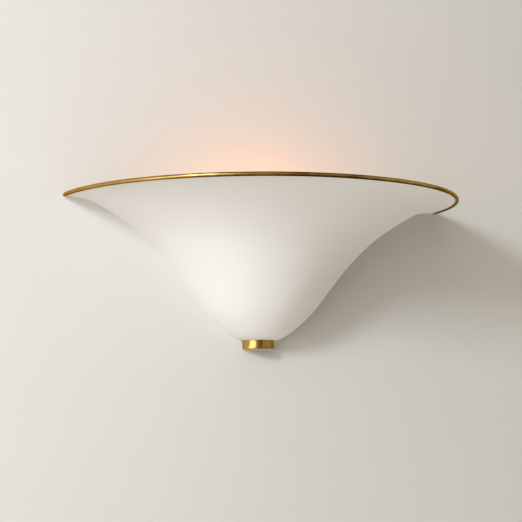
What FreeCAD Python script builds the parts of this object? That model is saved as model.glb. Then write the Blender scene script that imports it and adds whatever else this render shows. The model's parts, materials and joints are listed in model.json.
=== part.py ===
import FreeCAD, Part
import math
import os
from FreeCAD import Vector

# Wall sconce, in millimetres. X runs along the wall, -Y out of it and +Z up.
# The origin is on the wall, at the centre of the wall box that the strap is screwed to.

# Clearances shared by many pieces
seat_gap = 0.05
curved_seat_gap = 0.1
moving_gap = 0.3
overrun = 2.0

# Shade: half a bell, turned about an upright axis in the wall
rim_radius = 250.0
rim_height = 75.0
shade_depth = 171.3
shade_wall = 1.5
lip_bite = 2.0
# Control points of the outer outline, from the foot's flat to the lip: shares of its reach and drop
outline_shares = (
    (0.000, 1.00),
    (0.033, 1.00),
    (0.115, 0.925),
    (0.225, 0.79),
    (0.360, 0.53),
    (0.510, 0.31),
    (0.655, 0.17),
    (0.785, 0.07),
    (0.885, 0.00),
    (1.000, 0.00),
)
outline_degree = 3
offset_point_count = 61
search_count = 40

# Rim rod, whose round is drawn in arcs
rod_radius = 2.5
rod_arc_count = 10

# Finial and what clamps it
finial_radius = 20.4
finial_height = 11.0
finial_bevel = 0.6
finial_stud_radius = 2.5
finial_stud_out = 13.5
finial_stud_bite = 7.0
finial_stud_end = 2.0
washer_radius = 5.0
washer_thickness = 1.0
small_nut_across = 8.0
small_nut_height = 4.0
hex_side_count = 6
nut_chamfer_share = 0.6

# Wall strap
strap_length = 130.0
strap_height = 20.0
strap_thickness = 2.5
box_screw_spacing = 88.9
box_slot_width = 4.6
box_slot_length = 12.0
strap_centre_hole_radius = 5.2
stud_spacing = 116.0
stud_radius = 2.5
stud_tip_chamfer = 0.5
stud_tip_beyond_nut = 2.0
lock_nut_across = 8.0
lock_nut_height = 4.0
strap_earth_place = 22.0

# Screws, as shank radius, head radius and head height
screw_radius = 2.0
screw_head_radius = 3.6
screw_head_height = 2.4
small_screw_radius = 1.5
small_screw_head_radius = 2.6
small_screw_head_height = 1.8
screw_slot_width = 0.9
screw_slot_depth = 1.0
screw_tip_share = 0.8
# Crown of a screw head: shares of its radius and height
screw_crown_shares = ((1.0, 0.0), (1.0, 0.5), (0.94, 0.74), (0.72, 0.95), (0.0, 1.0))

# Thumb nuts
thumb_radius = 5.0
thumb_grip_length = 5.0
thumb_neck_radius = 4.0
thumb_neck_length = 3.0
thumb_bore_gap = 0.08
thumb_groove_radius = 0.4
thumb_groove_count = 18

# Back plate
plate_setback = 8.0
plate_thickness = 1.2
plate_edge_gap = 0.5
plate_top_drop = 12.0
plate_foot_rise = 17.0
keyhole_lift = 9.0
keyhole_slot_gap = 0.2
keyhole_round_radius = 6.0

# Tabs that carry the plate
tab_thickness = 1.2
tab_height = 12.0
tab_reach = 16.0
tab_wall_gap = 1.5
upper_tab_level = 25.0
lower_tab_rise = 26.3

# Foot bracket
foot_bracket_thickness = 1.5
foot_bracket_width = 22.0
foot_bracket_reach = 19.0
foot_bracket_overlap = 14.0
foot_corner_radius = 5.0
rivet_radius = 1.6
rivet_head_radius = 3.0
rivet_head_height = 1.2
foot_rivet_spacing = 12.0
rivet_tail_share = 0.7
# Tail and dome of a rivet: shares of its head radius, and of the tail's or the head's height
rivet_tail_shares = ((0.75, 1.0), (0.8, 0.4), (0.8, 0.0))
rivet_dome_shares = ((1.0, 0.0), (0.97, 0.35), (0.82, 0.68), (0.5, 0.93), (0.0, 1.0))

# Cable inlet
cable_bore_radius = 4.5
grommet_radius = 8.0
grommet_wall = 1.6
grommet_lip = 1.4
grommet_edge = 0.45
inlet_bracket_gap = 4.0
cable_inlet_drop = 25.0

# Terminal block
pole_count = 3
pole_pitch = 10.0
block_drop = 25.0
block_height = 16.0
block_base_depth = 5.0
tower_width = 7.6
tower_depth = 15.0
wire_hole_radius = 1.5
wire_hole_out = 6.0
block_ear_hole_gap = 0.1
pole_screw_spacing = 8.0
pole_screw_recess = 3.0

# Lamp bracket
bracket_thickness = 2.0
bracket_width = 36.0
bracket_flange_height = 28.0
shelf_rise = 34.3
shelf_reach = 58.0
shelf_corner_radius = 12.0
bracket_bend_radius = 3.0
bracket_rivet_spacing = 22.0
bracket_rivet_rise = 14.0
bracket_rivet_low = 8.0

# Lampholder
lamp_axis_out = 42.0
socket_radius = 17.0
socket_height = 38.0
socket_floor = 11.0
socket_edge_radius = 1.5
socket_bore_radius = 14.5
socket_screw_offset = 9.5
socket_sheet = 0.4
socket_shell_top_drop = 1.5
socket_contact_radius = 4.0
socket_contact_height = 2.0
socket_contact_base = 0.8
# Crown of the middle contact: shares of its radius and height
socket_contact_shares = ((0.7, 0.8), (0.45, 1.0), (0.0, 1.0))
socket_contact_step_share = 0.8
terminal_pocket_width = 12.0
terminal_pocket_height = 8.0
terminal_pocket_rise = 1.2
terminal_pocket_depth = 4.5
terminal_plate_thickness = 1.2
socket_nut_across = 5.5
socket_nut_height = 2.4
socket_screw_end = 0.6

# Lamp
bulb_radius = 30.0
lamp_length = 107.0
glass_wall = 0.8
bulb_neck_radius = 11.8
glass_in_base = 7.0
base_radius = 12.95
base_length = 19.0
base_thread_pitch = 3.6
base_thread_depth = 0.5
base_turns = 4
thread_step_count = 6
base_sheet = 0.4
base_foot_share = 0.6
base_collar_length = 3.0
insulator_height = 5.0
insulator_foot_radius = 6.5
insulator_foot_share = 0.85
contact_radius = 4.5
contact_height = 1.4
# Foot of the lamp's contact: shares of its radius and height
contact_foot_shares = ((0.0, 0.0), (0.5, 0.0), (0.85, 0.4), (1.0, 1.0), (0.0, 1.0))
stem_radius = 3.0
stem_neck_radius = 5.7
stem_tip_share = 0.6
stem_height = 38.0
stem_flare_height = 6.0
filament_wire_radius = 0.5
support_knee_height = 2.0
filament_span = 26.0
filament_rise = 16.0
filament_sag = 4.0
support_radius = 0.6
# Control points of the glass below its widest ring: shares of neck to bulb radius, and of height
pear_shares = (
    (0.00, 0.00),
    (0.00, 0.16),
    (0.14, 0.34),
    (0.60, 0.60),
    (1.00, 0.80),
    (1.00, 1.00),
)

# Leads
lead_radius = 1.2
lead_bend_share = 0.45
lead_tail = 1.0
ring_radius = 3.6
ring_thickness = 0.8
ring_barrel_radius = 1.7
ring_barrel_length = 5.0
earth_screw_side_gap = 6.5
earth_screw_rise = 42.3

# Derived levels and reaches
rim_level = rim_height
foot_level = rim_height - shade_depth
lip_end = rim_radius - rod_radius + lip_bite
plate_front = plate_setback + plate_thickness
shelf_top = foot_level + shelf_rise
shelf_under = shelf_top - bracket_thickness
socket_floor_level = shelf_top + socket_floor
lamp_base_level = socket_floor_level + socket_contact_height + moving_gap
cable_inlet_left = bracket_width / 2 + inlet_bracket_gap + grommet_radius
earth_screw_level = foot_level + earth_screw_rise
stud_places = (-stud_spacing / 2, stud_spacing / 2)
far = rim_radius + rod_radius + overrun

X = Vector(1, 0, 0)
Y = Vector(0, 1, 0)
Z = Vector(0, 0, 1)
ORIGIN = Vector(0, 0, 0)
HALF_TURN = 180


# Plain shapes


def block(low, high):
    size = high - low
    return Part.makeBox(size.x, size.y, size.z, low)


def cylinder(radius, start, end):
    return Part.makeCylinder(radius, (end - start).Length, start, end - start)


def tube(outer, inner, start, end):
    return cylinder(outer, start, end).cut(cylinder(inner, start, end))


def polygon_face(points):
    return Part.Face(Part.makePolygon(list(points) + [points[0]]))


def turned(points, centre=ORIGIN):
    """A solid turned about an upright axis from an outline of (radius, level) points."""
    outline = polygon_face([Vector(r, 0, z) for r, z in points])
    solid = outline.revolve(ORIGIN, Z, 2 * HALF_TURN)
    solid.translate(centre)
    return Part.Solid(solid) if solid.ShapeType == "Shell" else solid


def aimed(shape, place, direction):
    """A shape made along +Z from the origin, turned to a direction and moved to its place."""
    turn = FreeCAD.Rotation(Z, direction)
    shape.Placement = FreeCAD.Placement(place, turn)
    return shape


def joined(shapes):
    first, *rest = shapes
    return first.fuse(rest).removeSplitter() if rest else first


def group(shapes):
    return Part.makeCompound(list(shapes))


def mirrored(shape):
    return shape.mirror(ORIGIN, X)


def both_sides(shape):
    return group([shape, mirrored(shape)])


def at(x, out, z):
    """A point given by how far out of the wall it lies."""
    return Vector(x, -out, z)


# Fasteners


def hex_nut(across, height, bore, place, direction):
    corner = across / math.sqrt(3)
    points = []
    for step in range(hex_side_count):
        angle = 2 * math.pi * step / hex_side_count
        points.append(Vector(corner * math.cos(angle), corner * math.sin(angle), 0))
    nut = polygon_face(points).extrude(Z * height)
    trim = (corner - across / 2) * nut_chamfer_share
    rim = turned([(0, 0), (corner - trim, 0), (corner, trim), (corner, height - trim),
                  (corner - trim, height), (0, height)])
    nut = nut.common(rim).cut(cylinder(bore, Z * -overrun, Z * (height + overrun)))
    return aimed(nut, place, direction)


def slotted_screw(shank, head, head_height, length, place, direction):
    """A screw whose head stands out of its seat along direction, with its shank the other way."""
    tip = shank * screw_tip_share
    points = [(0, -length), (tip, -length), (shank, -length + shank - tip), (shank, 0)]
    points += [(head * a, head_height * b) for a, b in screw_crown_shares]
    screw = turned(points)
    slot = block(Vector(-head - overrun, -screw_slot_width / 2, head_height - screw_slot_depth),
                 Vector(head + overrun, screw_slot_width / 2, head_height + overrun))
    return aimed(screw.cut(slot), place, direction)


def domed_rivet(grip, place, direction):
    """A rivet with its domed head outside its seat, and its flat tail beyond the grip."""
    head, rise = rivet_head_radius, rivet_head_height
    tail = rise * rivet_tail_share
    points = [(0, -grip - tail)]
    points += [(head * a, -grip - tail * b) for a, b in rivet_tail_shares]
    points += [(rivet_radius, -grip), (rivet_radius, 0)]
    points += [(head * a, rise * b) for a, b in rivet_dome_shares]
    return aimed(turned(points), place, direction)


# Shade outline


def smooth_line(points):
    """A smooth line that starts at the first control point and ends at the last."""
    line = Part.BSplineCurve()
    line.buildFromPoles(points, False, outline_degree)
    return line


def outer_line():
    """Outer outline of the shade in the XZ plane, from the edge of the foot's flat to the lip."""
    reach = lip_end - finial_radius
    drop = shade_depth - shade_wall / 2
    lip_under = rim_level - shade_wall / 2
    points = [Vector(finial_radius + a * reach, 0, lip_under - b * drop) for a, b in outline_shares]
    return smooth_line(points)


def inner_line(distance):
    """The outer outline moved into the bell by a distance."""
    outer = outer_line()
    first, last = outer.FirstParameter, outer.LastParameter
    points = []
    for step in range(offset_point_count):
        place = first + (last - first) * step / (offset_point_count - 1)
        along = outer.tangent(place)[0]
        points.append(outer.value(place) + Vector(-along.z, 0, along.x) * distance)
    line = Part.BSplineCurve()
    line.interpolate(points)
    return line


def reach_at(level, distance):
    """Radius of the inner outline at a level."""
    line = inner_line(distance)
    low, high = line.FirstParameter, line.LastParameter
    for _ in range(search_count):
        middle = (low + high) / 2
        if line.value(middle).z < level:
            low = middle
        else:
            high = middle
    return line.value(low).x


def half_turned(edges):
    """A solid turned half round the wall axis, from closed edges in the XZ plane."""
    return Part.Face(Part.Wire(edges)).revolve(ORIGIN, Z, -HALF_TURN)


def line_between(start, end):
    return Part.makeLine(start, end)


def bell_space(distance):
    """All that lies inside the shade's outer face by at least a distance."""
    line = inner_line(distance)
    start, end = line.StartPoint, line.EndPoint
    edges = [
        line_between(Vector(0, 0, start.z), start),
        line.toShape(),
        line_between(end, Vector(0, 0, end.z)),
        line_between(Vector(0, 0, end.z), Vector(0, 0, start.z)),
    ]
    return half_turned(edges)


# Shade, rim and finial


def make_shade_shell():
    outer, inner = outer_line(), inner_line(shade_wall)
    foot_under = outer.StartPoint.z
    foot_over = foot_under + shade_wall
    edges = [
        line_between(Vector(0, 0, foot_under), outer.StartPoint),
        outer.toShape(),
        line_between(outer.EndPoint, inner.EndPoint),
        inner.toShape(),
        line_between(inner.StartPoint, Vector(0, 0, foot_over)),
        line_between(Vector(0, 0, foot_over), Vector(0, 0, foot_under)),
    ]
    shell = half_turned(edges)
    hole_radius = finial_stud_radius + seat_gap
    hole = cylinder(hole_radius, at(0, finial_stud_out, foot_level - overrun),
                    at(0, finial_stud_out, foot_over + overrun))
    return shell.cut(hole)


def rod_section():
    """The rod's round section in the XZ plane, as a ring of equal arcs."""
    centre = Vector(rim_radius, 0, rim_level)

    def on_round(step):
        angle = math.pi * step / rod_arc_count
        return centre + Vector(rod_radius * math.cos(angle), 0, rod_radius * math.sin(angle))

    arcs = [Part.Arc(on_round(2 * step), on_round(2 * step + 1), on_round(2 * step + 2)).toShape()
            for step in range(rod_arc_count)]
    return Part.Face(Part.Wire(arcs))


def make_rim_trim():
    half_groove = shade_wall / 2 + seat_gap
    inside = rim_radius - rod_radius - overrun
    floor = lip_end + seat_gap
    groove = polygon_face([
        Vector(inside, 0, rim_level - half_groove), Vector(floor, 0, rim_level - half_groove),
        Vector(floor, 0, rim_level + half_groove), Vector(inside, 0, rim_level + half_groove),
    ])
    return rod_section().cut(groove).Faces[0].revolve(ORIGIN, Z, -HALF_TURN)


def make_finial_cap():
    top, low = foot_level, foot_level - finial_height
    edge = finial_radius - finial_bevel
    outline = polygon_face([
        Vector(0, 0, low), Vector(edge, 0, low), Vector(finial_radius, 0, low + finial_bevel),
        Vector(finial_radius, 0, top - finial_bevel / 2), Vector(finial_radius - finial_bevel / 2, 0, top),
        Vector(0, 0, top),
    ])
    cap = outline.revolve(ORIGIN, Z, -HALF_TURN)
    hole = cylinder(finial_stud_radius + seat_gap, at(0, finial_stud_out, top - finial_stud_bite),
                    at(0, finial_stud_out, top + overrun))
    return cap.cut(hole)


def foot_stack_level():
    """Top face of the foot bracket's leg, where the washer lies."""
    return foot_level + shade_wall + foot_bracket_thickness


def make_finial_stud():
    start = foot_level - finial_stud_bite + seat_gap
    end = foot_stack_level() + washer_thickness + small_nut_height + finial_stud_end
    return cylinder(finial_stud_radius, at(0, finial_stud_out, start), at(0, finial_stud_out, end))


def make_finial_washer():
    low = foot_stack_level()
    return tube(washer_radius, finial_stud_radius + seat_gap, at(0, finial_stud_out, low),
                at(0, finial_stud_out, low + washer_thickness))


def make_finial_nut():
    low = foot_stack_level() + washer_thickness
    return hex_nut(small_nut_across, small_nut_height, finial_stud_radius + seat_gap,
                   at(0, finial_stud_out, low), Z)


# Wall strap and its studs


def slot_cutter(length, width, place, depth):
    """A round-ended slot along X, cut out of the wall from a place."""
    radius = width / 2
    half = length / 2 - radius
    back, front = Y * overrun, Y * -(depth + overrun)
    middles = [place + X * side * half for side in (-1, 1)]
    ends = [cylinder(radius, end + back, end + front) for end in middles]
    middle = block(place + Vector(-half, -(depth + overrun), -radius), place + Vector(half, overrun, radius))
    return joined(ends + [middle])


def make_wall_strap():
    half, rise = strap_length / 2, strap_height / 2
    strap = block(at(-half + rise, strap_thickness, -rise), at(half - rise, 0, rise))
    ends = [cylinder(rise, at(side * (half - rise), 0, 0), at(side * (half - rise), strap_thickness, 0))
            for side in (-1, 1)]
    strap = joined([strap] + ends)
    cutters = [slot_cutter(box_slot_length, box_slot_width, Vector(side * box_screw_spacing / 2, 0, 0),
                           strap_thickness) for side in (-1, 1)]
    through = ((0, strap_centre_hole_radius), (strap_earth_place, screw_radius + seat_gap))
    holes = through + tuple((place, stud_radius + seat_gap) for place in stud_places)
    for place, radius in holes:
        cutters.append(cylinder(radius, at(place, -overrun, 0), at(place, strap_thickness + overrun, 0)))
    return strap.cut(cutters)


def thumb_start():
    """How far out of the wall the thumb nuts start."""
    return plate_front + moving_gap


def thumb_end():
    return thumb_start() + thumb_neck_length + thumb_grip_length


def make_strap_studs():
    end = thumb_end() + stud_tip_beyond_nut
    points = [(0, 0), (stud_radius, 0), (stud_radius, end - stud_tip_chamfer),
              (stud_radius - stud_tip_chamfer, end), (0, end)]
    return group([aimed(turned(points), at(place, 0, 0), -Y) for place in stud_places])


def make_stud_lock_nuts():
    return group([hex_nut(lock_nut_across, lock_nut_height, stud_radius + seat_gap,
                          at(place, strap_thickness, 0), -Y) for place in stud_places])


def make_strap_earth_screw():
    return slotted_screw(screw_radius, screw_head_radius, screw_head_height, strap_thickness,
                         at(strap_earth_place, strap_thickness, 0), -Y)


def make_thumb_nut(place):
    neck, grip = thumb_neck_length, thumb_grip_length
    bore = stud_radius + thumb_bore_gap
    edge = thumb_groove_radius
    points = [(bore, 0), (thumb_neck_radius, 0), (thumb_neck_radius, neck), (thumb_radius - edge, neck),
              (thumb_radius, neck + edge), (thumb_radius, neck + grip - edge),
              (thumb_radius - edge, neck + grip), (bore, neck + grip)]
    nut = turned(points)
    grooves = []
    for step in range(thumb_groove_count):
        angle = 2 * math.pi * step / thumb_groove_count
        foot = Vector(thumb_radius * math.cos(angle), thumb_radius * math.sin(angle), neck - overrun)
        grooves.append(cylinder(thumb_groove_radius, foot, foot + Z * (grip + 2 * overrun)))
    return aimed(nut.cut(grooves), at(place, thumb_start(), 0), -Y)


# Back plate and what carries it


def tab_screw_place(level):
    return reach_at(level, shade_wall + curved_seat_gap) - tab_reach / 2


def tab_levels():
    return (upper_tab_level, foot_level + lower_tab_rise)


def foot_rivet_level():
    return foot_level + plate_foot_rise + foot_bracket_overlap / 2


def bracket_rivet_places():
    lows = (shelf_top + bracket_rivet_low, shelf_top + bracket_rivet_low + bracket_rivet_rise)
    return [(side * bracket_rivet_spacing / 2, level) for side in (-1, 1) for level in lows]


def block_left():
    """How far left the terminal block's middle is: midway between the cable inlet and the shade."""
    reach = reach_at(-block_drop - block_height / 2, shade_wall)
    shade_side = math.sqrt(reach ** 2 - (plate_front + tower_depth) ** 2)
    return (cable_inlet_left + grommet_radius + shade_side) / 2


def block_screw_places():
    side = pole_pitch / 2
    return [(-block_left() + offset, -block_drop) for offset in (-side, side)]


def earth_screw_left():
    return reach_at(earth_screw_level, shade_wall) - earth_screw_side_gap


def make_back_plate():
    top = rim_level - plate_top_drop
    low = foot_level + plate_foot_rise
    slab = block(at(-far, plate_front, low), at(far, plate_setback, top))
    plate = bell_space(shade_wall + plate_edge_gap).common(slab)

    def drill(x, z, radius):
        return cylinder(radius, at(x, plate_setback - overrun, z), at(x, plate_front + overrun, z))

    cutters = []
    neck = stud_radius + keyhole_slot_gap
    for place in stud_places:
        cutters.append(drill(place, 0, neck))
        cutters.append(drill(place, -keyhole_lift, keyhole_round_radius))
        cutters.append(block(at(place - neck, plate_front + overrun, -keyhole_lift),
                             at(place + neck, plate_setback - overrun, 0)))
    for level in tab_levels():
        for side in (-1, 1):
            cutters.append(drill(side * tab_screw_place(level), level, screw_radius + curved_seat_gap))
    for x, z in bracket_rivet_places():
        cutters.append(drill(x, z, rivet_radius + seat_gap))
    for side in (-1, 1):
        cutters.append(drill(side * foot_rivet_spacing / 2, foot_rivet_level(), rivet_radius + seat_gap))
    for x, z in block_screw_places():
        cutters.append(drill(x, z, small_screw_radius + seat_gap))
    cutters.append(drill(-earth_screw_left(), earth_screw_level, screw_radius + seat_gap))
    cutters.append(drill(-cable_inlet_left, -cable_inlet_drop, cable_bore_radius + grommet_wall + seat_gap))
    return plate.cut(cutters)


def make_tab(level):
    """One tab: a leg welded along the shade's inside and a leg behind the plate, with a tapped hole."""
    outside = shade_wall + curved_seat_gap
    space = bell_space(outside)
    core = bell_space(outside + tab_thickness)
    low, high = level - tab_height / 2, level + tab_height / 2
    reach = reach_at(level, outside)
    weld_leg = space.cut(core).common(block(at(0, plate_setback, low), at(far, tab_wall_gap, high)))
    screw_leg = space.common(block(at(reach - tab_reach, plate_setback, low),
                                   at(far, plate_setback - tab_thickness, high)))
    tab = joined([weld_leg, screw_leg])
    hole = cylinder(screw_radius + seat_gap, at(tab_screw_place(level), 0, level),
                    at(tab_screw_place(level), plate_front, level))
    return tab.cut(hole)


def make_shade_tabs():
    tabs = [make_tab(level) for level in tab_levels()]
    return group(tabs + [mirrored(tab) for tab in tabs])


def make_tab_screws():
    length = plate_thickness + tab_thickness + screw_radius / 2
    screws = []
    for level in tab_levels():
        for side in (-1, 1):
            screws.append(slotted_screw(screw_radius, screw_head_radius, screw_head_height, length,
                                        at(side * tab_screw_place(level), plate_front, level), -Y))
    return group(screws)


def rounded_flap(width, reach, corner, thickness, level, root):
    """A level flap from a root out of the wall, with its two outer corners rounded."""
    half, top = width / 2, level + thickness
    bodies = [block(at(-half, reach - corner, level), at(half, root, top)),
              block(at(-half + corner, reach, level), at(half - corner, root, top))]
    for side in (-1, 1):
        x = side * (half - corner)
        bodies.append(cylinder(corner, at(x, reach - corner, level), at(x, reach - corner, top)))
    return joined(bodies)


def make_foot_bracket():
    half = foot_bracket_width / 2
    low = foot_level + shade_wall
    top = foot_level + plate_foot_rise + foot_bracket_overlap
    rear = plate_setback - foot_bracket_thickness
    leg = block(at(-half, plate_setback, low), at(half, rear, top))
    flap = rounded_flap(foot_bracket_width, foot_bracket_reach, foot_corner_radius,
                        foot_bracket_thickness, low, rear)
    cutters = [cylinder(finial_stud_radius + seat_gap, at(0, finial_stud_out, low - overrun),
                        at(0, finial_stud_out, low + foot_bracket_thickness + overrun))]
    for side in (-1, 1):
        x = side * foot_rivet_spacing / 2
        cutters.append(cylinder(rivet_radius + seat_gap, at(x, rear - overrun, foot_rivet_level()),
                                at(x, plate_setback + overrun, foot_rivet_level())))
    bracket = joined([leg, flap]).cut(cutters)
    return bracket.common(bell_space(shade_wall))


def make_foot_rivets():
    grip = plate_thickness + foot_bracket_thickness
    return group([domed_rivet(grip, at(side * foot_rivet_spacing / 2, plate_front, foot_rivet_level()), -Y)
                  for side in (-1, 1)])


def make_cable_grommet():
    bore, hole = cable_bore_radius, cable_bore_radius + grommet_wall
    lip, rear, front = grommet_lip, plate_setback, plate_front
    edge = grommet_edge
    points = [
        (bore, -lip), (grommet_radius - edge, -lip), (grommet_radius, -lip + edge), (grommet_radius, 0),
        (hole, 0), (hole, front - rear), (grommet_radius, front - rear),
        (grommet_radius, front - rear + lip - edge), (grommet_radius - edge, front - rear + lip),
        (bore, front - rear + lip),
    ]
    return aimed(turned(points), at(-cable_inlet_left, rear, -cable_inlet_drop), -Y)


# Terminal block


def pole_places():
    middle = (pole_count - 1) / 2
    return [-block_left() + (step - middle) * pole_pitch for step in range(pole_count)]


def pole_screw_levels():
    return (-block_drop - pole_screw_spacing / 2, -block_drop + pole_screw_spacing / 2)


def make_terminal_block():
    low, high = -block_drop - block_height / 2, -block_drop + block_height / 2
    wire = plate_front + wire_hole_out
    front = plate_front + tower_depth
    places = pole_places()
    half = tower_width / 2
    bodies = [block(at(places[0] - half, plate_front + block_base_depth, low),
                    at(places[-1] + half, plate_front, high))]
    cutters = []
    head_hole = small_screw_head_radius + seat_gap
    for x in places:
        bodies.append(block(at(x - half, front, low), at(x + half, plate_front, high)))
        cutters.append(cylinder(wire_hole_radius, at(x, wire, low - overrun), at(x, wire, high + overrun)))
        for level in pole_screw_levels():
            cutters.append(cylinder(small_screw_radius + seat_gap, at(x, wire, level), at(x, front, level)))
            cutters.append(cylinder(head_hole, at(x, front - pole_screw_recess, level),
                                    at(x, front + overrun, level)))
    for x, z in block_screw_places():
        cutters.append(cylinder(small_screw_radius + block_ear_hole_gap, at(x, plate_setback, z),
                                at(x, front, z)))
        cutters.append(cylinder(head_hole, at(x, plate_front + block_base_depth, z),
                                at(x, front + overrun, z)))
    return joined(bodies).cut(cutters)


def make_terminal_screws():
    front = plate_front + tower_depth
    seat = front - pole_screw_recess
    length = seat - plate_front - wire_hole_out - lead_radius - curved_seat_gap
    screws = []
    for x in pole_places():
        for level in pole_screw_levels():
            screws.append(slotted_screw(small_screw_radius, small_screw_head_radius, small_screw_head_height,
                                        length, at(x, seat, level), -Y))
    return group(screws)


def make_terminal_block_screws():
    seat = plate_front + block_base_depth
    length = block_base_depth + plate_thickness + small_screw_radius
    return group([slotted_screw(small_screw_radius, small_screw_head_radius, small_screw_head_height,
                                length, at(x, seat, z), -Y) for x, z in block_screw_places()])


# Earth point on the plate


def make_earth_screw():
    seat = plate_front + ring_thickness
    length = ring_thickness + plate_thickness + screw_radius
    return slotted_screw(screw_radius, screw_head_radius, screw_head_height, length,
                         at(-earth_screw_left(), seat, earth_screw_level), -Y)


def ring_barrel_start():
    """Where the ring terminal's barrel starts, above the earth screw."""
    return earth_screw_level + ring_radius + lead_tail


def make_earth_ring():
    x, z = -earth_screw_left(), earth_screw_level
    out = plate_front + lead_centre_over_plate()
    ring = cylinder(ring_radius, at(x, plate_front, z), at(x, plate_front + ring_thickness, z))
    tongue = block(at(x - ring_barrel_radius, plate_front + ring_thickness, z),
                   at(x + ring_barrel_radius, plate_front, ring_barrel_start() + lead_tail))
    ramp = cylinder(ring_barrel_radius, at(x, out, ring_barrel_start()),
                    at(x, out, ring_barrel_start() + ring_barrel_length))
    body = joined([ring, tongue, ramp])
    holes = [cylinder(screw_radius + seat_gap, at(x, 0, z), at(x, plate_front + overrun, z)),
             cylinder(lead_radius + seat_gap, at(x, out, ring_barrel_start() + lead_tail),
                      at(x, out, ring_barrel_start() + ring_barrel_length + overrun))]
    return body.cut(holes)


def lead_centre_over_plate():
    return ring_barrel_radius


# Lamp bracket and lampholder


def make_lamp_bracket():
    half = bracket_width / 2
    top = shelf_under + bracket_flange_height
    flange = block(at(-half, plate_front + bracket_thickness, shelf_under), at(half, plate_front, top))
    shelf = rounded_flap(bracket_width, shelf_reach, shelf_corner_radius, bracket_thickness,
                         shelf_under, plate_front)
    root, bend_top = plate_front + bracket_thickness, shelf_top + bracket_bend_radius
    bend_out = root + bracket_bend_radius
    bend = block(at(-half, bend_out, shelf_top), at(half, root, bend_top))
    bend = bend.cut(cylinder(bracket_bend_radius, at(-half - overrun, bend_out, bend_top),
                             at(half + overrun, bend_out, bend_top)))
    cutters = []
    for x, z in bracket_rivet_places():
        cutters.append(cylinder(rivet_radius + seat_gap, at(x, plate_front - overrun, z),
                                at(x, plate_front + bracket_thickness + overrun, z)))
    for out in socket_screw_outs():
        cutters.append(cylinder(small_screw_radius + curved_seat_gap, at(0, out, shelf_under - overrun),
                                at(0, out, shelf_top + overrun)))
    return joined([flange, shelf, bend]).cut(cutters)


def make_bracket_rivets():
    grip = plate_thickness + bracket_thickness
    return group([domed_rivet(grip, at(x, plate_front + bracket_thickness, z), -Y)
                  for x, z in bracket_rivet_places()])


def socket_screw_outs():
    return (lamp_axis_out - socket_screw_offset, lamp_axis_out + socket_screw_offset)


def lamp_axis(level):
    return at(0, lamp_axis_out, level)


def terminal_face():
    """How far from the lamp axis the plates of the lampholder's terminals face outwards."""
    return socket_radius - terminal_pocket_depth + terminal_plate_thickness


def terminal_level():
    return shelf_top + terminal_pocket_rise + terminal_pocket_height / 2


def terminal_screw_place():
    """Level of the terminal screws, above the lead that each one clamps."""
    return terminal_level() + lead_radius


def terminal_lead_level():
    return terminal_screw_place() - small_screw_radius - lead_radius - curved_seat_gap


def make_socket_body():
    r, e, top = socket_radius, socket_edge_radius, socket_height
    bore, floor = socket_bore_radius, socket_floor
    points = [(0, 0), (r - e, 0), (r, e), (r, top - e), (r - e, top), (bore + e / 2, top),
              (bore, top - e / 2), (bore, floor), (0, floor)]
    body = turned(points, lamp_axis(shelf_top))
    cutters = []
    for out in socket_screw_outs():
        cutters.append(cylinder(small_screw_radius + curved_seat_gap, at(0, out, shelf_top - overrun),
                                at(0, out, socket_floor_level + overrun)))
    half = terminal_pocket_width / 2
    low = shelf_top + terminal_pocket_rise
    inside = socket_radius - terminal_pocket_depth
    for side in (-1, 1):
        near, beyond = side * inside, side * (socket_radius + overrun)
        cutters.append(block(at(min(near, beyond), lamp_axis_out + half, low),
                             at(max(near, beyond), lamp_axis_out - half, low + terminal_pocket_height)))
        cutters.append(cylinder(small_screw_radius + seat_gap,
                                at(near, lamp_axis_out, terminal_screw_place()),
                                at(near - side * overrun, lamp_axis_out, terminal_screw_place())))
    body = body.cut(cutters)
    back = terminal_back_channels(low)
    return body.cut(back)


def terminal_back_channels(low):
    """Channels that bring each lead from the wall side into its pocket."""
    channels = []
    inside = terminal_face()
    for side in (-1, 1):
        near, beyond = sorted((side * inside, side * (socket_radius + overrun)))
        channels.append(block(at(near, lamp_axis_out, low),
                              at(beyond, lamp_axis_out - socket_radius, low + terminal_pocket_height)))
    return channels


def make_socket_terminal_plates():
    half = terminal_pocket_width / 2 - seat_gap
    low = shelf_top + terminal_pocket_rise + seat_gap
    high = low + terminal_pocket_height - 2 * seat_gap
    near = socket_radius - terminal_pocket_depth + seat_gap
    plate = block(at(near, lamp_axis_out + half, low), at(terminal_face(), lamp_axis_out - half, high))
    hole = cylinder(small_screw_radius + seat_gap, at(near - overrun, lamp_axis_out, terminal_screw_place()),
                    at(terminal_face() + overrun, lamp_axis_out, terminal_screw_place()))
    return both_sides(plate.cut(hole))


def make_socket_terminal_screws():
    seat = terminal_face() + 2 * lead_radius + 2 * seat_gap
    length = seat - terminal_face() + terminal_plate_thickness + lead_tail
    screw = slotted_screw(small_screw_radius, small_screw_head_radius, small_screw_head_height, length,
                          at(seat, lamp_axis_out, terminal_screw_place()), X)
    return both_sides(screw)


def make_socket_fixing_screws():
    end = bracket_thickness + socket_nut_height + socket_screw_end
    return group([slotted_screw(small_screw_radius, small_screw_head_radius, small_screw_head_height,
                                socket_floor + end, at(0, out, socket_floor_level), Z)
                  for out in socket_screw_outs()])


def make_socket_fixing_nuts():
    return group([hex_nut(socket_nut_across, socket_nut_height, small_screw_radius + seat_gap,
                          at(0, out, shelf_under), -Z) for out in socket_screw_outs()])


def thread_outline(radius, depth, start, turns, pitch):
    """Rounded thread ridges as (radius, level) points: each crest at the radius, each root below it."""
    points = []
    for step in range(turns * thread_step_count + 1):
        phase = 2 * math.pi * step / thread_step_count
        level = start + pitch * step / thread_step_count
        points.append((radius - depth * (1 - math.cos(phase)) / 2, level))
    return points


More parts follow.
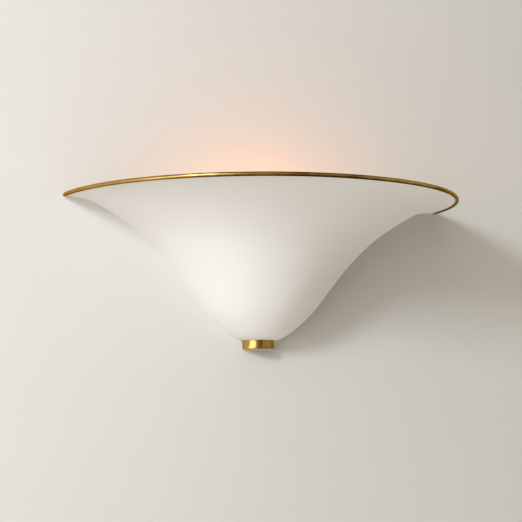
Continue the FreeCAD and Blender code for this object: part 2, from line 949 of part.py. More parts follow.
def make_socket_screw_shell():
    inner = base_radius + moving_gap
    outer = inner + base_thread_depth + socket_sheet
    low = socket_floor_level + socket_contact_height
    high = shelf_top + socket_height - socket_shell_top_drop
    length = base_turns * base_thread_pitch
    start = high - length - base_collar_length
    outside = thread_outline(outer, base_thread_depth, start, base_turns, base_thread_pitch)
    outside = [(outer, low)] + outside + [(outer, high)]
    inside = [(r - socket_sheet, z) for r, z in reversed(outside)]
    return turned(outside + inside, lamp_axis(0))


def make_socket_contact():
    r, base, top = socket_contact_radius, socket_contact_base, socket_contact_height
    points = [(0, 0), (r, 0), (r, base), (r * socket_contact_step_share, base)]
    points += [(r * a, top * b) for a, b in socket_contact_shares]
    return turned(points, lamp_axis(socket_floor_level))


# Lamp


def base_top_level():
    return lamp_base_level + contact_height + insulator_height + base_length


def base_foot_radius():
    return insulator_foot_radius + (base_radius - insulator_foot_radius) * base_foot_share


def lamp_tip_level():
    return lamp_base_level + lamp_length


def glass_outline(inset):
    """The glass from its neck to its tip, moved in by an inset, as edges in the XZ plane."""
    neck = base_top_level() - glass_in_base
    widest = lamp_tip_level() - bulb_radius
    spread = bulb_radius - bulb_neck_radius
    rise = widest - neck
    side = smooth_line([Vector(bulb_neck_radius + a * spread - inset, 0, neck + b * rise)
                        for a, b in pear_shares])
    radius = bulb_radius - inset
    centre = Vector(0, 0, widest)
    middle = centre + Vector(radius * math.cos(math.pi / 4), 0, radius * math.sin(math.pi / 4))
    dome = Part.Arc(side.EndPoint, middle, centre + Z * radius)
    return side, dome


def full_turned(edges):
    solid = Part.Face(Part.Wire(edges)).revolve(ORIGIN, Z, 2 * HALF_TURN)
    solid.translate(lamp_axis(0))
    return solid


def make_bulb_glass():
    side, dome = glass_outline(0)
    inner_side, inner_dome = glass_outline(glass_wall)
    edges = [
        side.toShape(), dome.toShape(),
        line_between(dome.EndPoint, inner_dome.EndPoint),
        inner_dome.toShape(), inner_side.toShape(),
        line_between(inner_side.StartPoint, side.StartPoint),
    ]
    return full_turned(edges)


def make_bulb_screw_base():
    top = base_top_level()
    low = top - base_length
    start = low + base_collar_length / 2
    outside = thread_outline(base_radius, base_thread_depth, start, base_turns, base_thread_pitch)
    outside = [(base_foot_radius(), low)] + outside + [(base_radius, top)]
    inside = [(r - base_sheet, z) for r, z in reversed(outside)]
    return turned(outside + inside, lamp_axis(0))


def make_bulb_insulator():
    top = base_top_level() - base_length
    low = top - insulator_height
    points = [(0, low), (insulator_foot_radius * insulator_foot_share, low),
              (insulator_foot_radius, low + contact_height),
              (base_foot_radius() - base_sheet, top - seat_gap), (0, top - seat_gap)]
    return turned(points, lamp_axis(0))


def make_bulb_contact():
    points = [(contact_radius * a, contact_height * b) for a, b in contact_foot_shares]
    return turned(points, lamp_axis(lamp_base_level))


def stem_base_level():
    return base_top_level() - glass_in_base


def make_bulb_stem():
    low = stem_base_level()
    r = stem_radius
    flare = bulb_neck_radius - glass_wall - curved_seat_gap
    tip = r * stem_tip_share
    points = [(0, low), (flare, low), (flare, low + glass_wall),
              (stem_neck_radius, low + stem_flare_height / 2), (r, low + stem_flare_height),
              (r, low + stem_height - r + tip), (tip, low + stem_height), (0, low + stem_height)]
    return turned(points, lamp_axis(0))


def filament_ends():
    level = stem_base_level() + stem_height + filament_rise
    return [lamp_axis(level) + X * side * filament_span / 2 for side in (-1, 1)]


def make_filament_supports():
    """Two wires that stand on the stem and lean out to the ends of the filament."""
    top_of_stem = stem_base_level() + stem_height
    wires = []
    for side, end in zip((-1, 1), filament_ends()):
        foot = lamp_axis(top_of_stem) + X * side * (stem_radius * stem_tip_share - support_radius)
        knee = foot + Z * support_knee_height
        wires.append(joined([cylinder(support_radius, foot, knee), Part.makeSphere(support_radius, knee),
                             cylinder(support_radius, knee, end)]))
    return group(wires)


def make_bulb_filament():
    """A shallow arc of wire between the supports."""
    left, right = filament_ends()
    clear = (support_radius + seat_gap) * 2
    start, end = left + X * clear, right - X * clear
    middle = (start + end) * 0.5 + Z * filament_sag
    arc = Part.Arc(start, middle, end)
    tangent = arc.tangent(arc.FirstParameter)[0]
    circle = Part.Wire(Part.makeCircle(filament_wire_radius, start, tangent))
    return Part.Wire(arc.toShape()).makePipeShell([circle], True, False)


# Leads


def lead_path(points):
    """Straight runs joined by tangent arcs, as large as the runs beside them allow."""
    edges = []
    radii = []
    start = points[0]
    for before, corner, after in zip(points, points[1:], points[2:]):
        into = (before - corner).normalize()
        onward = (after - corner).normalize()
        turn = math.pi - into.getAngle(onward)
        shorter = min((before - corner).Length, (after - corner).Length)
        cut_back = lead_bend_share * shorter
        radius = cut_back / math.tan(turn / 2)
        enter, leave = corner + into * cut_back, corner + onward * cut_back
        inward = (into + onward).normalize()
        middle = corner + inward * (radius / math.cos(turn / 2) - radius)
        edges.append(line_between(start, enter))
        edges.append(Part.Arc(enter, middle, leave).toShape())
        start = leave
        radii.append(round(radius, 1))
    edges.append(line_between(start, points[-1]))
    return Part.Wire(edges), radii


def make_lead(name, points):
    path, radii = lead_path(points)
    first = (points[1] - points[0]).normalize()
    circle = Part.Wire(Part.makeCircle(lead_radius, points[0], first))
    solid = path.makePipeShell([circle], True, False)
    section = math.pi * lead_radius ** 2
    print(name, "length", round(path.Length, 1), "bend radii", radii,
          "volume ratio", round(solid.Volume / (section * path.Length), 4))
    return solid


def lead_out():
    return plate_front + wire_hole_out


def block_under():
    return -block_drop - block_height / 2


def block_lead_start(pole):
    """A lead starts inside the block, under the lower clamp screw of its pole."""
    return at(pole_places()[pole], lead_out(), pole_screw_levels()[0] - lead_tail)


def make_live_lead():
    x = pole_places()[2]
    side = terminal_face() + lead_radius + seat_gap
    level = terminal_lead_level()
    under = block_under()
    near = lamp_axis_out - socket_radius
    points = [
        block_lead_start(2),
        at(x, lead_out(), under - lead_radius * 5),
        at(x + pole_pitch * 1.4, lead_out() + lead_radius * 3, under - lead_radius * 13),
        at(-side - lead_radius * 3, near, level + lead_radius),
        at(-side, near + lead_radius * 6, level),
        at(-side, lamp_axis_out + small_screw_radius, level),
    ]
    return make_lead("live_lead", points)


def make_neutral_lead():
    x = pole_places()[1]
    side = terminal_face() + lead_radius + seat_gap
    level = terminal_lead_level()
    under = block_under()
    near = lamp_axis_out - socket_radius
    low = under - lead_radius * 14
    behind = plate_front + bracket_thickness + rivet_head_height + lead_radius * 2
    points = [
        block_lead_start(1),
        at(x, lead_out(), under - lead_radius * 6),
        at(x + pole_pitch, behind, low),
        at(-bracket_width / 4, behind, low - lead_radius * 3),
        at(side + lead_radius * 5, behind + lead_radius * 2, low - lead_radius * 2),
        at(side + lead_radius, near + lead_radius * 3, level),
        at(side, near + lead_radius * 8, level),
        at(side, lamp_axis_out + small_screw_radius, level),
    ]
    return make_lead("neutral_lead", points)


def make_earth_lead():
    x = pole_places()[0]
    end = at(-earth_screw_left(), plate_front + lead_centre_over_plate(), ring_barrel_start() + lead_tail)
    above = ring_barrel_start() + ring_barrel_length + lead_radius * 3
    points = [
        block_lead_start(0),
        at(x, lead_out(), block_under() - lead_radius),
        at(-earth_screw_left(), plate_front + lead_centre_over_plate(), above),
        end,
    ]
    return make_lead("earth_lead", points)


nodes = {
    "wall_strap": make_wall_strap(),
    "strap_studs": make_strap_studs(),
    "stud_lock_nuts": make_stud_lock_nuts(),
    "strap_earth_screw": make_strap_earth_screw(),
    "thumb_nut_left": make_thumb_nut(stud_places[0]),
    "thumb_nut_right": make_thumb_nut(stud_places[1]),
    "shade_shell": make_shade_shell(),
    "rim_trim": make_rim_trim(),
    "finial_cap": make_finial_cap(),
    "finial_stud": make_finial_stud(),
    "finial_washer": make_finial_washer(),
    "finial_nut": make_finial_nut(),
    "back_plate": make_back_plate(),
    "shade_tabs": make_shade_tabs(),
    "tab_screws": make_tab_screws(),
    "foot_bracket": make_foot_bracket(),
    "foot_rivets": make_foot_rivets(),
    "cable_grommet": make_cable_grommet(),
    "terminal_block": make_terminal_block(),
    "terminal_screws": make_terminal_screws(),
    "terminal_block_screws": make_terminal_block_screws(),
    "earth_screw": make_earth_screw(),
    "earth_ring": make_earth_ring(),
    "lamp_bracket": make_lamp_bracket(),
    "bracket_rivets": make_bracket_rivets(),
    "socket_body": make_socket_body(),
    "socket_screw_shell": make_socket_screw_shell(),
    "socket_contact": make_socket_contact(),
    "socket_terminal_plates": make_socket_terminal_plates(),
    "socket_terminal_screws": make_socket_terminal_screws(),
    "socket_fixing_screws": make_socket_fixing_screws(),
    "socket_fixing_nuts": make_socket_fixing_nuts(),
    "live_lead": make_live_lead(),
    "neutral_lead": make_neutral_lead(),
    "earth_lead": make_earth_lead(),
    "bulb_glass": make_bulb_glass(),
    "bulb_screw_base": make_bulb_screw_base(),
    "bulb_insulator": make_bulb_insulator(),
    "bulb_contact": make_bulb_contact(),
    "bulb_stem": make_bulb_stem(),
    "filament_supports": make_filament_supports(),
    "bulb_filament": make_bulb_filament(),
}

os.makedirs("parts", exist_ok=True)
for name, shape in nodes.items():
    print(name, "solids", len(shape.Solids), "valid", shape.isValid(), "volume", round(shape.Volume, 1))
    shape.exportStep("parts/" + name + ".step")
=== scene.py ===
import json
import math

import bmesh
import bpy
from mathutils import Matrix, Vector, noise

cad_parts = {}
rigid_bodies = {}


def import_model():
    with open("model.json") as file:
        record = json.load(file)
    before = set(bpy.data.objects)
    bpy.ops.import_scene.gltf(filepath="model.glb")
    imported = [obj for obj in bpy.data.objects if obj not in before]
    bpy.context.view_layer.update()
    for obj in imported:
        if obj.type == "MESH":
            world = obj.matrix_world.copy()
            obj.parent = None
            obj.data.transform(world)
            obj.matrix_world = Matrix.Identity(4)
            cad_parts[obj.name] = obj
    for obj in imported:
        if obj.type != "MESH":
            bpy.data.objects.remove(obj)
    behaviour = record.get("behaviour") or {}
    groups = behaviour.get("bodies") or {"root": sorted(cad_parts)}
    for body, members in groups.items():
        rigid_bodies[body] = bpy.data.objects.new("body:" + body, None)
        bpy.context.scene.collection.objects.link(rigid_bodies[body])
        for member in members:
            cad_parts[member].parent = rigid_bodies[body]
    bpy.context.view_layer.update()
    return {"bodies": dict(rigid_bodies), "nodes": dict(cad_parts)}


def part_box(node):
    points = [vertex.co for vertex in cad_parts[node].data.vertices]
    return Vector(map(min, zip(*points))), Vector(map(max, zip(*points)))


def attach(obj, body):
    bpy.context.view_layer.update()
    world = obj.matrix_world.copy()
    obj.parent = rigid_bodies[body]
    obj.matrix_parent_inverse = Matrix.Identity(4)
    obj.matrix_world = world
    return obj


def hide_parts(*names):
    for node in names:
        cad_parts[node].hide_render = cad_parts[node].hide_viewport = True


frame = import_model()

# Sizes that the frame gives, in metres
shade_low, shade_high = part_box("shade_shell")
rod_low, rod_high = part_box("rim_trim")
finial_low, finial_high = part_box("finial_cap")
bulb_low, bulb_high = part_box("bulb_glass")
rod_radius = (rod_high.z - rod_low.z) / 2
rod_reach = rod_high.x - rod_radius
rim_level = (rod_high.z + rod_low.z) / 2
lip_reach = shade_high.x
foot_level = shade_low.z
foot_reach = finial_high.x
bulb_radius = bulb_high.x
bulb_middle = Vector((0, (bulb_low.y + bulb_high.y) / 2, bulb_high.z - bulb_radius))

# Shade, whose wall is centred on the rim's level at the lip
shade_wall = (shade_high.z - rim_level) * 2
outline_shares = (
    (0.000, 1.00), (0.033, 1.00), (0.115, 0.925), (0.225, 0.79), (0.360, 0.53),
    (0.510, 0.31), (0.655, 0.17), (0.785, 0.07), (0.885, 0.00), (1.000, 0.00),
)
outline_degree = 3
outline_steps = 150
shade_turn_steps = 180
ripple_size = 0.11
ripple_depth = 0.00012

# Rim rod and finial
rod_turn_steps = 260
rod_round_steps = 30
groove_gap = 0.00005
groove_edge = 0.00018
rod_taper_length = 0.013
rod_end_share = 0.5
finial_turn_steps = 160
finial_edge = 0.0006
finial_edge_steps = 5
sharp_angle = math.radians(32)
weld_distance = 1e-7

# The screen's colour curve
curve_join = 0.04045
curve_slope = 12.92
curve_offset = 0.055
curve_power = 2.4

# Finishes: sizes of their noise and depths of their relief, in metres
noise_low = 0.25
noise_high = 0.75
edge_samples = 4
hard_edge = 0.0003
metal_edge = 0.0002
rod_edge = 0.0001
glaze_edge = 0.0005
paint_cloud_size = 0.05
shade_cloud_size = 0.12
plastic_cloud_size = 0.012
glaze_pool_size = 0.01
glass_cloud_size = 0.02
wall_cloud_size = 0.35
shade_peel_size = 0.0022
shade_speck_size = 0.0006
shade_spin_size = 0.004
metal_grain_size = 0.0006
metal_grain_depth = 0.00001
metal_patch_depth = 0.00002
glaze_pin_size = 0.004
glaze_pin_share = 0.08
etch_size = 0.0005
wire_turn_size = 0.0006
glass_wave_size = 0.003
glass_wave_depth = 0.00004
etch_depth = 0.00001
plastic_tooth_size = 0.0006
speck_share = 3

# Stretch of each grain along its three axes, where less makes it longer
spin_stretch = (0.02, 1, 1)
rim_drawn_stretch = (0.03, 1, 1)
rim_patch_stretch = (1, 3, 3)
rim_spot_stretch = (0.35, 1, 1)
finial_polish_stretch = (1, 1, 0.04)
finial_band_stretch = (1, 1, 0.08)
glass_wave_stretch = (1, 1, 0.3)
upright_grain = (1, 1, 0.08)
level_grain = (0.08, 1, 1)

# Roughness: from and to, its spread to either side of a middle, or what full tarnish adds to it
shade_roughness = (0.6, 0.7)
rim_roughness = (0.16, 0.24)
finial_roughness = (0.09, 0.14)
finial_spot_roughness = (0, 0.05)
glaze_roughness = (0.12, 0.22)
etch_roughness = (0.42, 0.55)
glass_wave_roughness = (0.02, 0.08)
wire_roughness = (0.4, 0.6)
paint_spread = 0.05
metal_spread = 0.05
plastic_spread = 0.06
metal_tarnish_adds = 0.2
rim_tarnish_adds = 0.12

# Glow of the lit glass and wire: from and to, and its reach in shares of the bulb's radius
bulb_emission = (0.1, 0.5)
wire_emission = (2.0, 6.0)
bulb_heat_shares = (0.9, 2.1)

# Noise levels between which the plain metals tarnish
metal_tarnish_levels = (0.42, 0.72)

# Brass: tarnish from and to, between two noise levels; painted dark reflection from and to, between two
# places along X in metres
rim_patch_tarnish = (0, 0.4, 0.42, 0.7)
rim_spot_tarnish = (0, 0.25, 0.5, 0.75)
rim_painted_reflection_rise = (-0.2, 0.65, -0.21, -0.05)
rim_painted_reflection_fall = (0, -0.35, -0.045, 0.03)
# Painted shade and reflection on the rod's upper and lower sides: the most it darkens, and the heights
# where it grows, in shares of the rod's radius
rim_side_painted_shade = 0.75
rim_painted_shade_shares = (0.3, 0.95)
finial_band_tarnish = (0, 0.6, 0.4, 0.62)
finial_spot_tarnish = (0, 0.25, 0.5, 0.8)
# Painted dark reflection, growing towards the finial's right side
finial_painted_reflection_right = (0, 0.5, -0.009, -0.002)
brass_edge_tint = (206, 184, 146)

# Camera, fitted to the photograph
camera_place = Vector((-0.75945, -1.8758, -0.20253))
camera_yaw = math.radians(22.177)
camera_pitch = math.radians(5.814)
camera_roll = math.radians(-0.413)
camera_lens = 112.01
sensor_width = 36.0

# Room
wall_gap = 0.0006
wall_reach = 0.8
floor_level = -1.0
room_reach = 3.2
room_height = 2.6
room_tint = (214, 210, 204)
backdrop_tint = (240, 238, 234)
dull_step = 3
trowel_share = 8
trowel_depth_share = 3
wall_grain = (0.004, 0.00006)
floor_grain = (0.01, 0.0001)

# Light: each lamp's heading to the right, height above level and distance, its size, power and tint
sky_top = (0.65, 0.59, 0.38)
sky_left = (1.32, 1.27, 1.39)
lamp_table = {
    "key_window": (-51, 18.5, 2.4, 0.5, 0.5, 38.0, (0.86, 0.93, 1.0)),
    "side_window": (-71, -24, 2.0, 1.6, 1.6, 9.0, (0.78, 0.85, 1.0)),
    "strip_window": (-56, 1, 2.2, 1.8, 0.6, 9.5, (0.9, 0.95, 1.0)),
    "object_fill": (16, -46, 2.4, 2.4, 2.4, 17.0, (0.92, 0.96, 1.0)),
    "back_fill": (180, 0, 2.6, 0.6, 0.6, 31.0, (1.0, 0.98, 0.95)),
}
glow_tint = (1.0, 0.29, 0.0)
glow_power = 0.58
glow_share = 0.9


# Colours and meshes


def colour(red, green, blue):
    """A linear colour from the 0 to 255 values of a screen colour."""
    def linear(value):
        share = value / 255
        if share <= curve_join:
            return share / curve_slope
        return ((share + curve_offset) / (1 + curve_offset)) ** curve_power
    return (linear(red), linear(green), linear(blue), 1.0)


def clamped_line(points, degree, steps):
    """Points along a smooth line that starts at the first control point and ends at the last."""
    spans = len(points) - degree
    knots = [0.0] * (degree + 1) + [i / spans for i in range(1, spans)] + [1.0] * (degree + 1)
    line = []
    for step in range(steps + 1):
        place = step / steps
        span = min(degree + int(place * spans), len(points) - 1)
        moved = [points[span - degree + i].copy() for i in range(degree + 1)]
        for level in range(1, degree + 1):
            for i in range(degree, level - 1, -1):
                start = knots[span - degree + i]
                share = (place - start) / (knots[span + 1 + i - level] - start)
                moved[i] = moved[i - 1].lerp(moved[i], share)
        line.append(moved[degree])
    return line


def moved_in(line, distance):
    """A line of (radius, level) points moved towards the bell's inside."""
    inside = []
    for i, point in enumerate(line):
        along = (line[min(i + 1, len(line) - 1)] - line[max(i - 1, 0)]).normalized()
        inside.append(point + Vector((-along.y, along.x)) * distance)
    return inside


def rod_taper(place):
    """The rod narrows towards the lip over its last stretch before the wall."""
    if -place.y >= rod_taper_length:
        return place
    grown = math.sin(math.pi / 2 * max(0.0, -place.y) / rod_taper_length)
    share = rod_end_share + (1 - rod_end_share) * grown
    out = math.hypot(place.x, place.y)
    reach = (lip_reach + (out - lip_reach) * share) / out
    return Vector((place.x * reach, place.y * reach, rim_level + (place.z - rim_level) * share))


def half_lathe(name, section, steps, bend=None):
    """A closed half-turned mesh from a closed section of (radius, level) points."""
    mesh = bmesh.new()
    rings = []
    for step in range(steps + 1):
        angle = math.pi * step / steps
        ring = []
        for radius, level in section:
            place = Vector((radius * math.cos(angle), -radius * math.sin(angle), level))
            ring.append(mesh.verts.new(bend(place) if bend else place))
        rings.append(ring)
    count = len(section)
    for ring, onward in zip(rings, rings[1:]):
        for i in range(count):
            j = (i + 1) % count
            mesh.faces.new((ring[i], ring[j], onward[j], onward[i]))
    mesh.faces.new(reversed(rings[0]))
    mesh.faces.new(rings[-1])
    bmesh.ops.remove_doubles(mesh, verts=mesh.verts, dist=weld_distance)
    bmesh.ops.recalc_face_normals(mesh, faces=mesh.faces)
    data = bpy.data.meshes.new(name)
    mesh.to_mesh(data)
    mesh.free()
    data.shade_smooth()
    data.set_sharp_from_angle(angle=sharp_angle)
    piece = bpy.data.objects.new(name, data)
    bpy.context.scene.collection.objects.link(piece)
    return piece


# Node materials


class Graph:
    """A node tree that is built up one part at a time."""

    def __init__(self, tree):
        self.tree = tree

    def add(self, kind, **settings):
        node = self.tree.nodes.new(kind)
        for key, value in settings.items():
            setattr(node, key, value)
        return node

    def feed(self, socket, value):
        """Links a socket to another one, or sets it to a plain value."""
        if isinstance(value, bpy.types.NodeSocket):
            self.tree.links.new(value, socket)
        else:
            socket.default_value = value

    def put(self, node, **values):
        """Feeds a node's inputs by name, with an underscore for each space."""
        for key, value in values.items():
            self.feed(node.inputs[key.replace("_", " ")], value)

    def math(self, operation, *values):
        node = self.add("ShaderNodeMath", operation=operation)
        for socket, value in zip(node.inputs, values):
            self.feed(socket, value)
        return node.outputs[0]

    def vector(self, operation, *values, output=0):
        node = self.add("ShaderNodeVectorMath", operation=operation)
        for socket, value in zip(node.inputs, values):
            self.feed(socket, value)
        return node.outputs[output]

    def parts(self, place):
        """The three coordinates of a place."""
        node = self.add("ShaderNodeSeparateXYZ")
        self.put(node, Vector=place)
        return node.outputs

    def scaled(self, tint, share):
        """A tint times a share that nodes work out."""
        node = self.add("ShaderNodeVectorMath", operation="SCALE")
        self.put(node, Vector=tint, Scale=share)
        return node.outputs[0]

    def mixed(self, share, first, second):
        node = self.add("ShaderNodeMixShader")
        for socket, value in zip(node.inputs, (share, first, second)):
            self.feed(socket, value)
        return node.outputs[0]

    def blend(self, share, first, second):
        node = self.add("ShaderNodeMix", data_type="RGBA")
        sockets = (node.inputs[0], node.inputs[6], node.inputs[7])
        for socket, value in zip(sockets, (share, first, second)):
            self.feed(socket, value)
        return node.outputs[2]

    def ranged(self, value, low, high, start=noise_low, end=noise_high):
        """A value between low and high, as the given one goes from start to end."""
        node = self.add("ShaderNodeMapRange")
        self.put(node, Value=value, From_Min=start, From_Max=end, To_Min=low, To_Max=high)
        return node.outputs[0]


class Finish(Graph):
    """A material's nodes, from the place on the piece to its surface."""

    def __init__(self, name):
        self.material = bpy.data.materials.new(name)
        self.material.use_nodes = True
        super().__init__(self.material.node_tree)
        self.surface = self.tree.nodes["Principled BSDF"]
        self.place = self.add("ShaderNodeTexCoord").outputs["Object"]

    def look(self, **values):
        self.put(self.surface, **values)

    def stretched(self, scale, source=None):
        node = self.add("ShaderNodeMapping")
        self.put(node, Vector=source or self.place, Scale=scale)
        return node.outputs[0]

    def around(self):
        """Place along the turn about the upright axis, out from it and up, in metres."""
        x, y, z = self.parts(self.place)
        out = self.math("SQRT", self.math("ADD", self.math("MULTIPLY", x, x), self.math("MULTIPLY", y, y)))
        along = self.math("MULTIPLY", self.math("ARCTAN2", y, x), out)
        together = self.add("ShaderNodeCombineXYZ")
        self.put(together, X=along, Y=out, Z=z)
        return together.outputs[0]

    def noise(self, size, detail=3.0, roughness=0.5, source=None):
        node = self.add("ShaderNodeTexNoise")
        self.put(node, Vector=source or self.place, Scale=1 / size, Detail=detail, Roughness=roughness)
        return node.outputs["Fac"]

    def cells(self, size, source=None):
        node = self.add("ShaderNodeTexVoronoi")
        self.put(node, Vector=source or self.place, Scale=1 / size)
        return node.outputs["Distance"]

    def edges(self, radius):
        node = self.add("ShaderNodeBevel", samples=edge_samples)
        self.put(node, Radius=radius)
        return node.outputs[0]

    def bump(self, height, depth, normal=None):
        node = self.add("ShaderNodeBump")
        self.put(node, Height=height, Distance=depth)
        if normal:
            self.put(node, Normal=normal)
        return node.outputs[0]


def painted(name, pale, dull, roughness, peel_size, peel_depth, metallic=0.0):
    """Sprayed paint: orange peel, faint clouds of tone and an uneven sheen."""
    finish = Finish(name)
    cloud = finish.noise(paint_cloud_size, detail=4)
    peel = finish.noise(peel_size, detail=2)
    speck = finish.noise(peel_size / speck_share, detail=3)
    normal = finish.bump(peel, peel_depth, finish.edges(hard_edge))
    finish.look(
        Base_Color=finish.blend(finish.ranged(cloud, 0, 1), colour(*dull), colour(*pale)),
        Roughness=finish.ranged(speck, roughness - paint_spread, roughness + paint_spread),
        Normal=finish.bump(speck, peel_depth / speck_share, normal),
        Metallic=metallic,
    )
    return finish.material


def worn_metal(name, bright, dark, roughness, grain, patch_size=0.006, patina=0.5):
    """Bare metal: fine grain along one direction, tarnish in patches and small scratches."""
    finish = Finish(name)
    lines = finish.noise(metal_grain_size, detail=3, source=finish.stretched(grain))
    patches = finish.noise(patch_size, detail=5, roughness=0.6)
    tarnish = finish.ranged(patches, 0, patina, *metal_tarnish_levels)
    sheen = finish.ranged(lines, roughness - metal_spread, roughness + metal_spread)
    normal = finish.bump(lines, metal_grain_depth, finish.edges(metal_edge))
    finish.look(
        Base_Color=finish.blend(tarnish, colour(*bright), colour(*dark)),
        Roughness=finish.math("ADD", sheen, finish.math("MULTIPLY", tarnish, metal_tarnish_adds)),
        Normal=finish.bump(patches, metal_patch_depth, normal),
        Metallic=1.0,
    )
    return finish.material


def moulded(name, pale, dull, roughness, grain_depth=0.00002):
    """Moulded plastic or rubber: fine tooth, a soft tone change and a slight sheen change."""
    finish = Finish(name)
    cloud = finish.noise(plastic_cloud_size, detail=4)
    tooth = finish.noise(plastic_tooth_size, detail=2)
    finish.look(
        Base_Color=finish.blend(finish.ranged(cloud, 0, 1), colour(*dull), colour(*pale)),
        Roughness=finish.ranged(tooth, roughness - plastic_spread, roughness + plastic_spread),
        Normal=finish.bump(tooth, grain_depth, finish.edges(hard_edge)),
    )
    return finish.material


def shade_paint():
    """Matte warm white coat, a little duller in broad clouds, with a very fine peel."""
    pale, dull = (211, 206, 199), (207, 202, 195)
    peel_depth, speck_depth, spin_depth = 0.000012, 0.000005, 0.00002
    finish = Finish("shade_white")
    cloud = finish.noise(shade_cloud_size, detail=3)
    peel = finish.noise(shade_peel_size, detail=2)
    speck = finish.noise(shade_speck_size, detail=2)
    along_turn = finish.stretched(spin_stretch, finish.around())
    spin = finish.noise(shade_spin_size, detail=2, source=along_turn)
    normal = finish.bump(spin, spin_depth, finish.edges(hard_edge))
    normal = finish.bump(peel, peel_depth, normal)
    finish.look(
        Base_Color=finish.blend(finish.ranged(cloud, 0, 1), colour(*dull), colour(*pale)),
        Roughness=finish.ranged(speck, *shade_roughness),
        Normal=finish.bump(speck, speck_depth, normal),
        Specular_IOR_Level=0.25,
    )
    return finish.material


def rim_metal():
    """Satin brass drawn along the rim and aged in patches, with painted shade and reflection darkening its
    upper and lower sides and a painted dark reflection just left of its middle.
    """
    bright, dark = (196, 155, 84), (54, 36, 9)
    drawn_size, patch_size, spot_size = 0.0005, 0.03, 0.004
    drawn_depth, spot_depth = 0.00001, 0.00003
    finish = Finish("rim_brass")
    around = finish.around()
    drawn = finish.noise(drawn_size, detail=3, source=finish.stretched(rim_drawn_stretch, around))
    patches = finish.noise(patch_size, detail=5, roughness=0.62,
                           source=finish.stretched(rim_patch_stretch, around))
    spots = finish.noise(spot_size, detail=4, source=finish.stretched(rim_spot_stretch, around))
    # Painted shade and reflection: the rod's upper and lower sides darken with height from the rim's level
    height = finish.math("ABSOLUTE", finish.math("SUBTRACT", finish.parts(around)[2], rim_level))
    start, end = (rod_radius * share for share in rim_painted_shade_shares)
    painted_side_shade = finish.ranged(height, 0, rim_side_painted_shade, start, end)
    # Painted dark reflection along X: darkest just left of the rod's middle, less to the right
    x = finish.parts(finish.place)[0]
    along = finish.math("ADD", finish.ranged(x, *rim_painted_reflection_rise), finish.ranged(x, *rim_painted_reflection_fall))
    tarnish = finish.math("ADD", finish.ranged(patches, *rim_patch_tarnish),
                          finish.ranged(spots, *rim_spot_tarnish))
    tarnish_and_painted_light = finish.math("ADD", finish.math("ADD", tarnish, along), painted_side_shade)
    tarnish_and_painted_light = finish.math("MINIMUM", tarnish_and_painted_light, 1.0)
    sheen = finish.ranged(drawn, *rim_roughness)
    normal = finish.bump(drawn, drawn_depth, finish.edges(rod_edge))
    finish.look(
        Base_Color=finish.blend(tarnish_and_painted_light, colour(*bright), colour(*dark)),
        Roughness=finish.math("ADD", sheen, finish.math("MULTIPLY", tarnish_and_painted_light, rim_tarnish_adds)),
        Normal=finish.bump(spots, spot_depth, normal),
        Metallic=1.0,
        Specular_Tint=colour(*brass_edge_tint),
    )
    return finish.material


def finial_metal():
    """Polished brass with faint upright polishing lines, dull spots and tarnish, and a painted dark
    reflection towards the right.
    """
    bright, dark = (192, 151, 82), (82, 55, 20)
    polish_size, spot_size, band_size = 0.0004, 0.005, 0.014
    polish_depth = 0.000003
    finish = Finish("finial_brass")
    around = finish.around()
    polish = finish.noise(polish_size, detail=3, source=finish.stretched(finial_polish_stretch, around))
    spots = finish.noise(spot_size, detail=4)
    bands = finish.noise(band_size, detail=2, source=finish.stretched(finial_band_stretch, around))
    tarnish = finish.math("ADD", finish.ranged(bands, *finial_band_tarnish),
                          finish.ranged(spots, *finial_spot_tarnish))
    # Painted dark reflection: the finial darkens towards its right side
    x = finish.parts(finish.place)[0]
    tarnish_and_painted_light = finish.math("ADD", tarnish, finish.ranged(x, *finial_painted_reflection_right))
    finish.look(
        Base_Color=finish.blend(tarnish_and_painted_light, colour(*bright), colour(*dark)),
        Roughness=finish.math("ADD", finish.ranged(polish, *finial_roughness),
                              finish.ranged(spots, *finial_spot_roughness)),
        Normal=finish.bump(polish, polish_depth),
        Metallic=1.0,
        Specular_Tint=colour(*brass_edge_tint),
    )
    return finish.material


def glazed(name):
    """White glaze over porcelain, with a few pin marks and pooled, slightly greener glaze."""
    clear, pooled = (240, 238, 232), (230, 230, 222)
    relief = 0.00003
    finish = Finish(name)
    pool = finish.noise(glaze_pool_size, detail=3)
    pins = finish.math("LESS_THAN", finish.cells(glaze_pin_size), glaze_pin_share)
    finish.look(
        Base_Color=finish.blend(finish.ranged(pool, 0, 1), colour(*clear), colour(*pooled)),
        Roughness=finish.ranged(pool, *glaze_roughness),
        Normal=finish.bump(finish.math("ADD", pool, pins), relief, finish.edges(glaze_edge)),
        Coat_Weight=0.4,
        Coat_Roughness=0.08,
    )
    return finish.material


def frosted_glass():
    """Etched lamp glass, lit warm from inside and brightest round its middle."""
    pale, dull = (244, 240, 230), (236, 230, 218)
    cool_glow, hot_glow = (255, 170, 92), (255, 226, 176)
    near, far = (bulb_radius * share for share in bulb_heat_shares)
    finish = Finish("frosted_glass")
    etch = finish.noise(etch_size, detail=3)
    apart = finish.vector("DISTANCE", finish.place, bulb_middle, output=1)
    heat = finish.ranged(apart, 1.0, 0.0, near, far)
    cloud = finish.noise(glass_cloud_size, detail=3)
    finish.look(
        Base_Color=finish.blend(finish.ranged(cloud, 0, 1), colour(*pale), colour(*dull)),
        Roughness=finish.ranged(etch, *etch_roughness),
        Normal=finish.bump(etch, etch_depth),
        Emission_Color=finish.blend(heat, colour(*cool_glow), colour(*hot_glow)),
        Emission_Strength=finish.ranged(heat, *bulb_emission, 0, 1),
    )
    return finish.material


